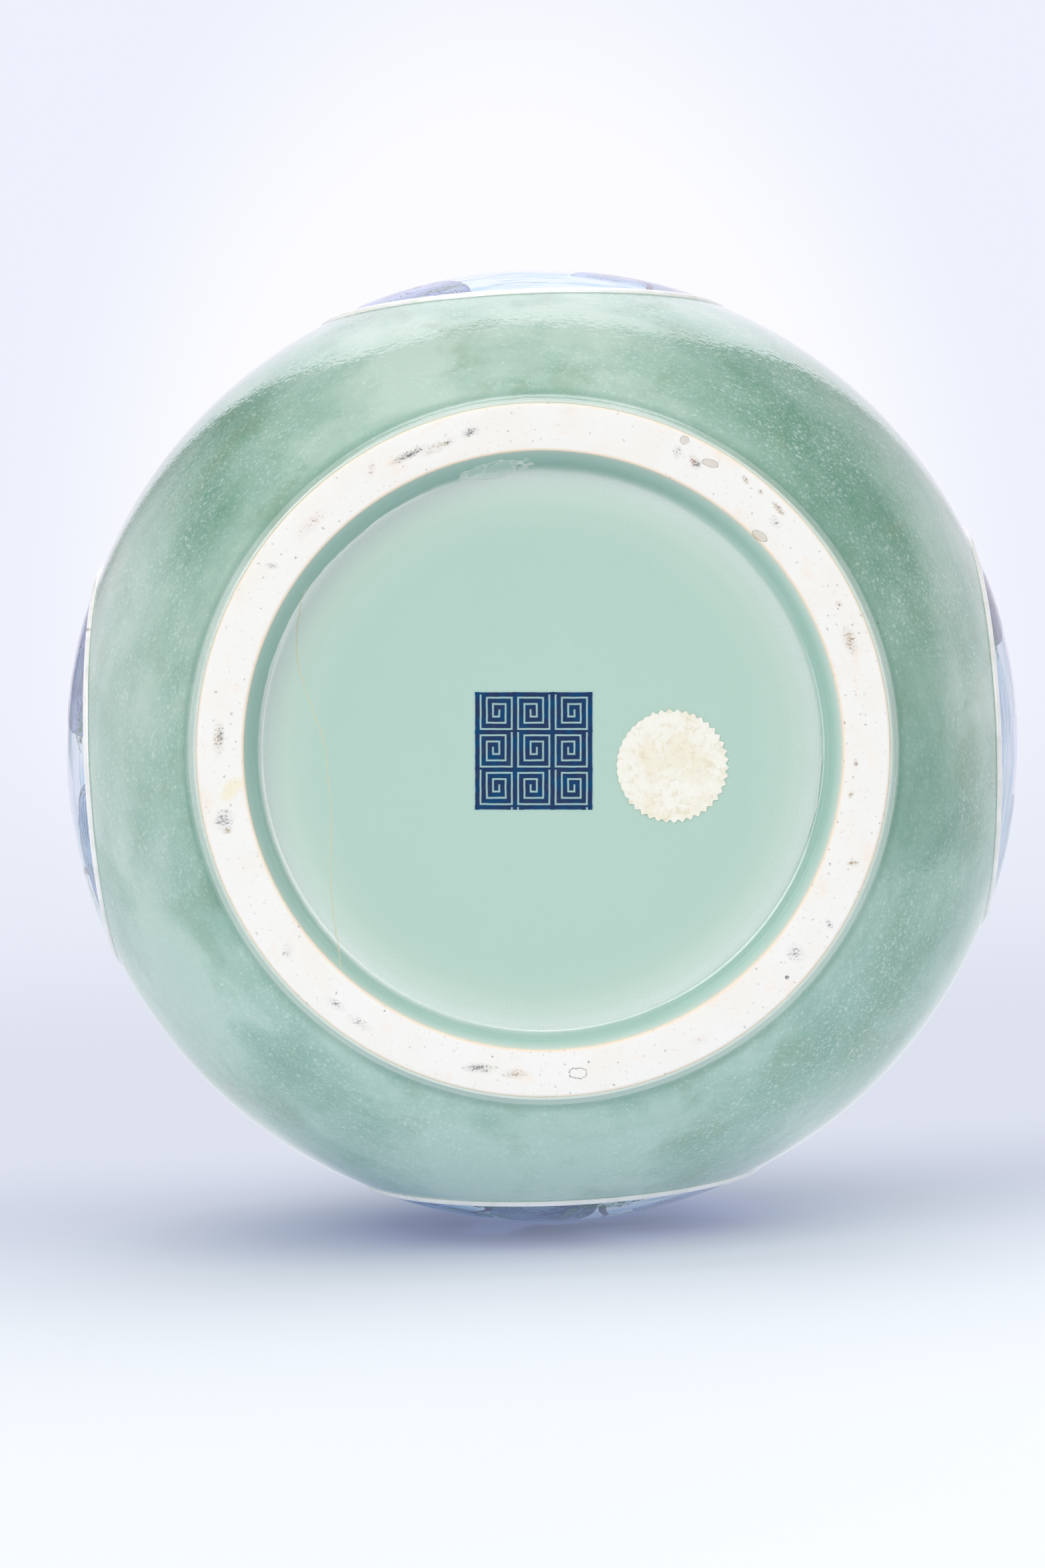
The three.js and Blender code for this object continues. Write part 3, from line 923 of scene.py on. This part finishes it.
# Each side: hills are (level, rise, share), rocks (across, foot, half width, height, wash), trees (across,
# foot, height, lean, kind), shrubs (across, up, half width, half height)
landscapes = {
    "front": {
        "seed": 3,
        "shore": -16,
        "hills": [(36, 16, 0.4), (22, 14, 0.5), (6, 9, 0.6)],
        "rocks": [(-38, -62, 22, 36, "violet"), (40, -44, 24, 24, "farHill"), (50, -26, 24, 62, "rock")],
        "shrubs": [(-24, -50, 9, 4), (30, -30, 10, 4)],
        "trees": [(-34, -34, 46, 10, "leaf"), (42, -52, 38, -12, "bloom"), (44, 24, 18, -4, "leaf")],
    },
    "right": {
        "seed": 11,
        "shore": -20,
        "hills": [(38, 14, 0.4), (20, 15, 0.5), (4, 9, 0.6)],
        "rocks": [(-40, -66, 15, 44, "deepRock"), (44, -40, 22, 40, "nearHill"), (-48, -12, 24, 58, "rock")],
        "shrubs": [(-30, -56, 8, 4), (34, -24, 9, 4)],
        "trees": [(-34, -32, 44, 14, "bloom"), (38, -14, 36, 8, "leaf"), (-40, 36, 14, 3, "leaf")],
    },
    "back": {
        "seed": 23,
        "shore": -14,
        "hills": [(34, 15, 0.45), (18, 13, 0.5), (2, 8, 0.6)],
        "rocks": [
            (-44, -44, 22, 34, "violet"), (42, -46, 20, 34, "nearHill"),
            (50, -6, 20, 46, "rock"), (7, -78, 19, 62, "deepRock"),
        ],
        "shrubs": [(-15, -60, 12, 6), (28, -61, 10, 6)],
        "trees": [(-12, -58, 50, -10, "leaf"), (24, -58, 26, 8, "leaf"), (38, -24, 40, -8, "bloom")],
    },
    "left": {
        "seed": 37,
        "shore": -22,
        "hills": [(37, 15, 0.4), (21, 13, 0.5), (5, 10, 0.6)],
        "rocks": [
            (25, -66, 15, 42, "rock"), (-34, -68, 30, 26, "farHill"),
            (46, -62, 20, 34, "violet"), (-50, -20, 22, 60, "rock"),
        ],
        "shrubs": [(12, -58, 8, 4), (-40, -36, 9, 4)],
        "trees": [(30, -28, 44, -12, "bloom"), (-34, -44, 38, 10, "leaf"), (-44, 30, 16, 4, "leaf")],
    },
}


def softNoise(across, up, size, seed, octaves=4):  # smooth values from 0 to 1, with patches of about size
    choice = np.random.default_rng(seed)
    total, weight = 0, 0
    for octave in range(octaves):
        lattice = choice.random((64, 64))
        a, b = across / size + 17.3, up / size + 41.9
        i, j = np.floor(a).astype(int), np.floor(b).astype(int)
        fa, fb = a - i, b - j
        fa, fb = fa * fa * (3 - 2 * fa), fb * fb * (3 - 2 * fb)
        low = lattice[i % 64, j % 64] * (1 - fa) + lattice[(i + 1) % 64, j % 64] * fa
        high = lattice[i % 64, (j + 1) % 64] * (1 - fa) + lattice[(i + 1) % 64, (j + 1) % 64] * fa
        total = total + (low * (1 - fb) + high * fb) * 0.5 ** octave
        weight += 0.5 ** octave
        size /= 2
    return total / weight


def ease(value, low, high):
    share = np.clip((value - low) / (high - low), 0, 1)
    return share * share * (3 - 2 * share)


class Panel:
    def __init__(self, across, up, seed):
        self.across, self.up, self.seed = across, up, seed
        self.choice = np.random.default_rng(seed)
        self.colour = np.tile(np.array(enamels["ground"]), (len(across), 1))
        self.line, self.leaf, self.bloom, self.trunk = (np.zeros(len(across)) for i in range(4))

    def noise(self, across, up, size, salt, octaves=4):
        return softNoise(across, up, size, self.seed + salt, octaves)

    def wash(self, share, paint):
        share = np.clip(share, 0, 1)[:, None]
        self.colour = self.colour * (1 - share) + np.array(enamels[paint]) * share

    def brush(self, points, widths, layer="line"):  # a line that swells and thins along its points
        drawn = getattr(self, layer)
        for (x0, z0), (x1, z1), w0, w1 in zip(points, points[1:], widths, widths[1:]):
            reach = max(w0, w1) + 1
            box = (self.across > min(x0, x1) - reach) & (self.across < max(x0, x1) + reach)
            box &= (self.up > min(z0, z1) - reach) & (self.up < max(z0, z1) + reach)
            if not box.any():
                continue
            dx, dz = x1 - x0, z1 - z0
            along = ((self.across[box] - x0) * dx + (self.up[box] - z0) * dz) / max(dx * dx + dz * dz, 1e-6)
            along = np.clip(along, 0, 1)
            away = np.hypot(self.across[box] - x0 - along * dx, self.up[box] - z0 - along * dz)
            half = (w0 + (w1 - w0) * along) / 2
            drawn[box] = np.maximum(drawn[box], 1 - ease(away, half - 0.35, half + 0.35))

    def hills(self, middle, rise, share):
        ridge = self.noise(self.across, self.across * 0 + middle, 34, middle)
        below = middle + rise * 2 * (ridge - 0.5) * 1.6 - self.up
        under = np.clip(below, 0, None)
        fold = self.noise(self.across + below * 0.8, self.up, 9, middle + 5, 3)
        self.wash(np.where(below > 0, np.exp(-under / 11) * share * (0.75 + fold * 0.5), 0), "farHill")
        self.wash(np.where(below > 0, np.exp(-under / 1.6) * 0.35, 0), "nearHill")
        woods = np.exp(-((below - 0.4) / 0.9) ** 2) * 0.35 * ease(fold, 0.45, 0.6)
        self.leaf = np.maximum(self.leaf, woods)

    def water(self, shore):
        below = shore - self.up
        ripple = self.noise(self.across / 5, self.up, 2.6, 7, 3)
        self.wash(ease(below, 0, 6) * (0.25 + 0.5 * ease(ripple, 0.45, 0.7)), "water")
        steps = np.linspace(0, 1, 9)
        for row in range(9):
            level = shore - 4 - row * 4.6 + self.choice.uniform(-1, 1)
            start = self.choice.uniform(-60, 20)
            length = self.choice.uniform(14, 34)
            points = [(start + t * length, level + 0.5 * math.sin(t * 11 + row)) for t in steps]
            self.brush(points, [0.25 + 0.35 * math.sin(t * math.pi) for t in steps])

    def rock(self, middle, ground, half, rise, paint):  # its foot is lost in mist
        salt = int(middle)
        share = np.clip(np.abs((self.across - middle) / half), 0, 1)
        lumps = self.noise(self.across, self.up * 0.3, 11, salt + 200)
        crown = ground + rise * (1 - share ** 2.2) ** 0.6 * (0.72 + 0.56 * lumps)
        below = crown - self.up
        inside = (below > 0) & (share < 1)
        solid = np.where(inside, ease(self.up, ground - 9 + 6 * share * share, ground + 1), 0)
        fold = self.noise(self.across * 1.3 + below * 0.5, self.up * 0.8, 9, salt + 300)
        for layer in (self.leaf, self.bloom, self.line, self.trunk):
            layer *= 1 - solid
        self.wash(solid, "rockPale")
        self.wash(solid * (ease(fold, 0.35, 0.62) * 0.38 + 0.6), paint)
        self.wash(solid * np.exp(-np.abs(below) / 3.2) * 0.7, "rock")
        self.wash(solid * ease(fold, 0.55, 0.7) * ease(below, 4, 12) * 0.4, "moss")

        # an outline, strokes like scales inside it, and tufts along the crown
        edge = (1 - ease(np.abs(below - 0.5), 0.35, 0.95)) * solid
        scales = below / 3.0 + fold * 3.4 + np.abs(self.across - middle) / half * 0.6
        strokes = np.abs(scales - np.round(scales)) * 3.0
        broken = self.noise(self.across, self.up, 5, salt + 400, 2)
        strokes = (1 - ease(strokes, 0.3, 1.0)) * ease(broken, 0.34, 0.5) * ease(below, 1.5, 4) * solid
        np.maximum(self.line, np.maximum(edge, strokes * 0.9), out=self.line)
        tufts = np.exp(-((below - 0.8) / 1.6) ** 2) * ease(broken, 0.48, 0.58) * 0.9 * (share < 1)
        np.maximum(self.leaf, tufts * ease(self.up, ground - 4, ground + 2), out=self.leaf)

    def tree(self, middle, ground, rise, lean, kind):
        leafy, tall = kind == "leaf", rise > 24
        steps, shape = np.linspace(0, 1, 12), np.linspace(0, 1, 6)
        sway = self.choice.uniform(-1, 1, 3)
        trunk = []
        for t in steps:
            bend = 2.2 * math.sin(t * 5 + sway[0] * 3) + 1.2 * math.sin(t * 11 + sway[1] * 3)
            trunk.append((middle + lean * t * t + bend * (0.3 + t), ground + rise * t))
        thick = 2.6 if tall else 1.2
        self.brush(trunk, [thick * (1 - 0.68 * t) for t in steps], "trunk")
        tips = [trunk[-1]]
        for branch in range(7 if tall else 3):
            x, z = trunk[4 + branch % 8]
            reach = rise * self.choice.uniform(0.2, 0.38)
            lift = self.choice.uniform(0.1, 0.65)
            side = reach if branch % 2 else -reach
            twig = [(x + side * t, z + reach * lift * t ** 1.4 + math.sin(t * 6 + branch) * 0.7) for t in shape]
            self.brush(twig, [thick * 0.42 * (1 - 0.6 * t) + 0.3 for t in shape], "trunk")
            tips += [twig[-1], twig[3]]
        layer = self.leaf if leafy else self.bloom
        for x, z in tips:
            wide = rise * self.choice.uniform(0.1, 0.17)
            high = wide * (0.5 if leafy else 0.8)
            away = np.hypot((self.across - x) / wide, (self.up - z - high * 0.3) / high)
            cloud = (1 - ease(away, 0.55, 1.15)) * (0.95 if leafy else 0.7)
            np.maximum(layer, cloud, out=layer)
            self.wash(cloud * 0.45, "moss" if leafy else "mist")

    def shrub(self, x, z, wide, tall):
        away = np.hypot((self.across - x) / wide, (self.up - z) / tall)
        away += (self.noise(self.across, self.up, 3, 9) - 0.5) * 0.9
        np.maximum(self.leaf, 1 - ease(away, 0.6, 1.1), out=self.leaf)

    def pavilion(self, x, z, size):
        roof = [(-1, 0), (-0.55, 0.18), (0, 0.75), (0.55, 0.18), (1, 0)]
        self.brush([(x + a * size, z + b * size) for a, b in roof], [0.5, 0.8, 1.1, 0.8, 0.5])
        beams = [(post, 0, post, -0.7, 0.55) for post in (-0.5, -0.17, 0.17, 0.5)]
        beams += [(-0.7, 0.02, 0.7, 0.02, 0.6), (-0.8, -0.72, 0.8, -0.72, 0.7)]
        for x0, z0, x1, z1, width in beams:
            self.brush([(x + x0 * size, z + z0 * size), (x + x1 * size, z + z1 * size)], [width, width])


def paintPanel(piece, across, up, plan):
    panel = Panel(across, up, plan["seed"])
    panel.wash(ease(panel.noise(across, up * 1.6, 26, 1), 0.45, 0.75) * 0.5, "mist")
    for hill in plan["hills"]:
        panel.hills(*hill)
    panel.water(plan["shore"])
    panel.pavilion(medallion["pavilion"], plan["shore"] + 4, 7)
    panel.rock(medallion["pavilion"], plan["shore"] - 6, 18, 7, "rockPale")
    for rock in sorted(plan["rocks"], key=lambda rock: -rock[1]):
        panel.rock(*rock)
    for shrub in plan["shrubs"]:
        panel.shrub(*shrub)
    for tree in plan["trees"]:
        panel.tree(*tree)
    layers = {
        "washes": [panel.colour, np.ones(len(across))],
        "marks": [panel.line, panel.leaf, panel.bloom, panel.trunk],
    }
    for name, columns in layers.items():
        layer = piece.data.attributes.new(name, "FLOAT_COLOR", "POINT")
        layer.data.foreach_set("color", np.column_stack(columns).ravel())
    print("painted", piece.name)


def addMedallions():
    (field, across, up), bead = addField(), addBead()
    paint, border = paintedEnamel(), borderSlip()
    for quarter, side in enumerate(medallion["sides"]):
        panel = turned(field, side + "Medallion", quarter)
        paintPanel(panel, across, up, landscapes[side])
        settle(panel, "medallion_enamel", paint, side + "_medallion")
        settle(turned(bead, side + "Border", quarter), "border_slip", border, side + "_border")
    bpy.data.objects.remove(field)
    bpy.data.objects.remove(bead)


def paintedEnamel():
    m = newFinish("paintedEnamel", enamels)
    place = m.place()
    m.colour = m.node("ShaderNodeAttribute", {"attribute_name": "washes"}, give="Color")
    line, leaf, bloom = m.parts(m.node("ShaderNodeAttribute", {"attribute_name": "marks"}, give="Color"))
    trunk = m.node("ShaderNodeAttribute", {"attribute_name": "marks"}, give="Alpha")
    brush = m.noise(place, 700, 3, 0.6)
    density = m.noise(place, 130, 3)
    m.paint((m.noise(place, 90, 4, 0.6) - 0.4) * 0.35, "mist")

    # brush lines with ragged edges and uneven ink
    ink = (line + (brush - 0.5) * 0.35).rises(0.42, 0.66)
    m.paint(ink * (density * 0.8 + 0.3), "line")
    bark = (trunk + (brush - 0.5) * 0.3).rises(0.42, 0.62)
    m.paint(bark * 0.9, m.mix(brush.rises(0.4, 0.65), "line", "wood"))

    # leaves and blossom are dabs, thicker where the layer is denser
    tone = m.chance(place, 560)
    leaves = m.cells(place, 560).falls(0.34, 0.46) * (leaf - tone[0] * 0.8).above(0.06)
    m.paint(leaf.rises(0.2, 0.9) * 0.35, "leafLight")
    m.paint(leaves * 0.92, m.mix(tone[1], "leafDark", "leafLight"))
    petals, tone = m.cells(place, 430), m.chance(place, 430)
    flowers = petals.falls(0.34, 0.42) * (bloom - tone[0] * 0.85).above(0.05)
    m.paint(flowers * 0.95, m.mix(tone[1] * 0.6, "petal", "petalPale"))
    m.paint(petals.falls(0.1, 0.18) * flowers * 0.85, "petalHeart")

    raised = (leaves + flowers).least(1.0) * 0.6 + ink * 0.25
    return m.surface({"Roughness": 0.09, "IOR": 1.24}, (m.noise(place, 200, 2), 0.08), (raised, 0.05))


slip = {
    "thick": seen(253, 253, 251),
    "thin": seen(240, 242, 238),
    "iron": seen(96, 66, 44),
    "ironSpot": (134, 947),  # pixel of the picture
    "ironHalf": (6, 1.4, 90),
}


def borderSlip():
    m = newFinish("borderSlip", slip)
    place = m.place()
    m.colour = m.mix(m.noise(place, 120, 4, 0.6).rises(0.4, 0.7), "thick", "thin")
    spot = fromPicture(*slip["ironSpot"], 100)
    spot.z = vase["widest"] * mm
    m.paint(m.near(place, spot, Vector(slip["ironHalf"]) * mm).rises(0.1, 0.5) * 0.9, "iron")
    return m.surface({"Roughness": 0.12}, (m.noise(place, 160, 3), 0.12))


# Paper label with a pinked edge, worn round at its lower left
label = {
    "teeth": 42,
    "toothDepth": 1.1,
    "notches": (0, 0.55, 1, 0.55),  # round one tooth, as shares of its depth
    "thickness": 0.2,
    "worn": (150, 250),  # degrees round the label, from +X towards +Y
    "wornShare": 0.35,
    "wornDepth": 0.5,
    "spread": 0.35,  # the real edge lies a little past the solid's
    "paper": seen(245, 243, 233),
    "aged": seen(238, 231, 208),
    "stain": seen(222, 210, 178),
}


def addLabel():
    low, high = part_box("paper_label")
    centre = Vector(((low.x + high.x) / 2, (low.y + high.y) / 2, high.z))
    clearSelection()
    radius = (high.x - low.x) / 2 + label["spread"] * mm
    notches = label["notches"]
    corners = len(notches) * label["teeth"]
    bpy.ops.mesh.primitive_circle_add(vertices=corners, radius=radius, fill_type="NGON", location=centre)
    piece = bpy.context.object
    piece.name = "paperLabel"
    applyPlace()
    for index, vertex in enumerate(piece.data.vertices):
        away = vertex.co - centre
        angle = math.degrees(math.atan2(away.y, away.x)) % 360
        notch = notches[index % len(notches)] * label["toothDepth"]
        if label["worn"][0] < angle < label["worn"][1]:
            notch = notch * label["wornShare"] + label["wornDepth"]
        vertex.co -= away.normalized() * notch * mm
    startEdit()
    bpy.ops.mesh.poke()
    bpy.ops.mesh.select_all(action="SELECT")
    bpy.ops.mesh.extrude_region_move(TRANSFORM_OT_translate={"value": (0, 0, -label["thickness"] * mm)})
    endEdit()
    settle(piece, "label_paper", agedPaper(), "paper_label")


def agedPaper():
    m = newFinish("agedPaper", label)
    place = m.place()
    fibres = m.noise(m.stretched(place, (1, 0.35, 1), (0, 0, 0.5)), 1800, 3, 0.6)
    m.colour = m.mix(m.noise(place, 110, 4, 0.6, 0.4).rises(0.42, 0.66) * 0.7, "paper", "aged")
    m.paint(m.noise(place, 420, 5, 0.7, 0.6).rises(0.5, 0.66) * 0.55, "stain")
    m.paint(fibres.rises(0.5, 0.8) * 0.3, "stain")
    return m.surface({"Roughness": 0.85}, (fibres, 0.03), (m.noise(place, 120, 2), 0.25))


# Stage: a white sheet that the vase leans back on, and a floor that shows only from above
stage = {
    "sheetGap": 1.6,  # millimetres below the widest part
    "sheet": [(0.34, -1.5), (0.34, 0.0), (1.05, 1.3), (1.6, 2.4)],  # half width and depth in metres
    "floorRadius": 1.8,
    "near": seen(245, 249, 255),
    # far: the sheet's painted shade away from the camera
    "far": seen(206, 210, 229),
    "smear": seen(176, 182, 206),
    # painted contact shadow on the sheet where the vase touches, and the darker sheet the glaze mirrors there
    "contactShadow": seen(118, 136, 180),
    "contactShadowShare": 0.66,
    "mirrored": seen(246, 248, 255),
    "mirroredShadow": seen(128, 144, 178),  # the same where the vase touches
    "shadowHalf": (0.15, 0.12),
    "shadowRight": -0.018,
    "glowShare": (0.42, 0.5),  # under the vase and beside it
    "floor": seen(240, 243, 250),
}


def addStage():
    level = (vase["radius"] + stage["sheetGap"]) * mm
    clearSelection()
    bpy.ops.mesh.primitive_grid_add(x_subdivisions=1, y_subdivisions=len(stage["sheet"]) - 1, size=1)
    sheet = bpy.context.object
    sheet.name = "tableSheet"
    rows = sorted(sheet.data.vertices, key=lambda vertex: (round(vertex.co.y, 4), vertex.co.x))
    for (half, depth), left, right in zip(stage["sheet"], rows[::2], rows[1::2]):
        left.co = (-half, level, depth)
        right.co = (half, level, depth)
    sheet.data.update()
    sheet.data.materials.append(sheetPaper(level))

    clearSelection()
    bpy.ops.mesh.primitive_circle_add(vertices=64, radius=stage["floorRadius"], fill_type="NGON")
    floor = bpy.context.object
    floor.name = "floor"
    floor.data.materials.append(floorPaper())
    print("stage set")


def sheetPaper(level):
    m = newFinish("sheetPaper", stage)
    place = m.place()
    x, y, z = m.parts(place)
    watched = m.ray("Is Camera Ray")
    # painted shade: the sheet darkens away from the camera, towards the vase and past it
    m.colour = m.mix(z.rises(-0.25, 0.35), "near", "far")
    smears = m.noise(m.stretched(place, (30, 1, 30)), 1.0, 6, 0.75, 0.3).rises(0.68, 0.8)
    m.paint(smears * 0.3 * z.falls(-0.02, 0.06), "smear")
    # painted contact shadow, which only the camera sees on the sheet; glossy rays see a darker mirrored colour
    # there too
    wide, deep = stage["shadowHalf"]
    middle = (stage["shadowRight"], level, vase["widest"] * mm)
    shadowed = m.near(place, middle, (wide, 1, deep)).rises(0, 0.9)
    m.paint(shadowed * stage["contactShadowShare"] * watched, "contactShadow")
    # the sheet partly glows with its painted colour and so lights the side of the vase that faces it, more
    # beside the vase than under it
    share = m.mixed(abs(x).rises(0.03, 0.17), *stage["glowShare"])
    flat = m.node("ShaderNodeEmission", None, m.colour, 1.0)
    lit = m.either(share, m.node("ShaderNodeBsdfDiffuse", None, m.colour), flat)
    mirrored = m.node("ShaderNodeEmission", None, m.mix(shadowed, "mirrored", "mirroredShadow"), 1.0)
    lit = m.either(m.ray("Is Glossy Ray"), lit, mirrored)
    shown = z.falls(0.16, 0.38) * abs(x).falls(0.19, 0.32)
    return m.shownWhere((watched * shown).most(1 - watched) * z.rises(-0.6, -0.45), lit)


def floorPaper():
    m = newFinish("floorPaper", stage)
    x, y, z = m.parts(m.place())
    away = (x * x + y * y) ** 0.5
    lit = m.node("ShaderNodeBsdfDiffuse", None, (*stage["floor"], 1))
    return m.shownWhere(m.ray("Is Camera Ray") * away.falls(0.4, 1.7), lit)


# Light: an even room, a white roll of paper behind the vase that its glaze mirrors, and soft boxes
light = {
    "room": 0.5,
    "fromBelow": 0.25,  # the white sheet's own light on the vase's underside in the picture
    "mirroredRoom": 0.12,
    "paperRoll": (1.0, 1.6),  # behind the vase and high up
    "rollHalf": 0.31,
    "rollSpread": 0.24,
    "rollTop": 1.5,
    "panels": [  # towards, how wide it spreads, brightness
        ((-0.8, 0.05, 0.6), 0.75, 1.3), ((0.64, 0.0, 0.77), 0.8, 1.1), ((0.1, -1.0, 0.1), 0.85, 0.3),
    ],
    "strip": (5.0, (-0.92, -0.88, -0.78, -0.72)),  # a narrow light beside the camera, brightness and edges
    "tint": (0.99, 0.985, 1.0),
    "mirroredTint": (1.01, 0.96, 1.07),
    # the camera's backdrop: painted light, whiter behind the vase, and painted shade lower down towards the
    # table
    "side": seen(237, 241, 253),
    "behind": seen(252, 252, 255),
    "below": seen(231, 235, 247),
    "tableShade": seen(222, 226, 239),
}


def addWorld():
    world = bpy.data.worlds.new("studio")
    bpy.context.scene.world = world
    world.use_nodes = True
    m = Finish(world.node_tree, light)
    x, y, z = m.parts(m.node("ShaderNodeTexCoord", give="Generated"))

    # what the glaze mirrors: the roll of paper, the panels beside it and the strip by the camera
    ahead = z.most(0.001)
    across, up = abs(x) / ahead, y * -1 / ahead
    half = up.most(0.0).least(1.4) * light["rollSpread"] + light["rollHalf"] + (up * -6).most(0.0).least(0.7)
    roll = ((across / half) ** 4 + (up.most(0.0) / light["rollTop"]) ** 4).falls(0.92, 1.12)
    paper = m.mixed(up.rises(0.05, 0.9), *light["paperRoll"])
    mirrored = m.mixed(roll * z.above(0.0), light["mirroredRoom"], paper)
    for towards, width, brightness in light["panels"]:
        axis = Vector(towards).normalized()
        toward = x * axis.x + y * axis.y + z * axis.z
        mirrored = mirrored.most(toward.rises(width, width + 0.2) * brightness)
    brightness, edges = light["strip"]
    beside = ((x + y) * -0.7).rises(0.12, 0.36).most((x * 0.9 - y * 0.3).rises(0.26, 0.42) * 0.6)
    mirrored = mirrored.most(z.band(*edges) * beside * brightness)
    glossy = m.ray("Is Glossy Ray")
    level = m.mixed(glossy, y.rises(-0.2, 0.9) * light["fromBelow"] + light["room"], mirrored)
    around = m.mix(1.0, m.mix(glossy, "tint", "mirroredTint"), m.vector(level, level, level), "MULTIPLY")

    # what the camera sees: a backdrop with a painted pool of light, whitest behind the vase, and painted shade
    # lower down where the table lies
    lightPool = ((x * x + y * y * 0.36) ** 0.5).falls(0.085, 0.145)
    m.colour = m.mix(lightPool, "side", "behind")
    m.paint(y.rises(-0.01, 0.07), "below")
    m.paint(y.rises(0.05, 0.09), "tableShade")
    colour = m.mix(m.ray("Is Camera Ray"), around, m.colour)
    m.close(m.node("ShaderNodeBackground", None, colour, 1.0), "ShaderNodeOutputWorld")


lamps = {  # place in metres, width, power, whether the glaze mirrors it
    "leftBox": ((-1.0, -0.95, -1.35), 1.1, 15, True),
    "rightBox": ((1.3, -0.5, -1.2), 1.1, 6.5, True),
    "topBox": ((0.1, -1.7, 0.15), 1.2, 9, False),
    "upperBox": ((0.4, -0.6, 2.0), 1.2, 18, False),
}


def addLamps():
    aim = Vector((0, 0, vase["widest"] * mm))
    for name, (spot, width, power, mirrored) in lamps.items():
        place = Vector(spot)
        bpy.ops.object.light_add(type="AREA", location=place)
        box = bpy.context.object
        box.name = name
        box.data.shape = "DISK"
        box.data.size = width
        box.data.energy = power
        box.rotation_euler = (aim - place).to_track_quat("-Z", "Y").to_euler()
        box.visible_glossy = mirrored
    print("lamps set")


addCamera()
addBody()
addFoot()
addBase()
addMedallions()
addLabel()
addStage()
addWorld()
addLamps()
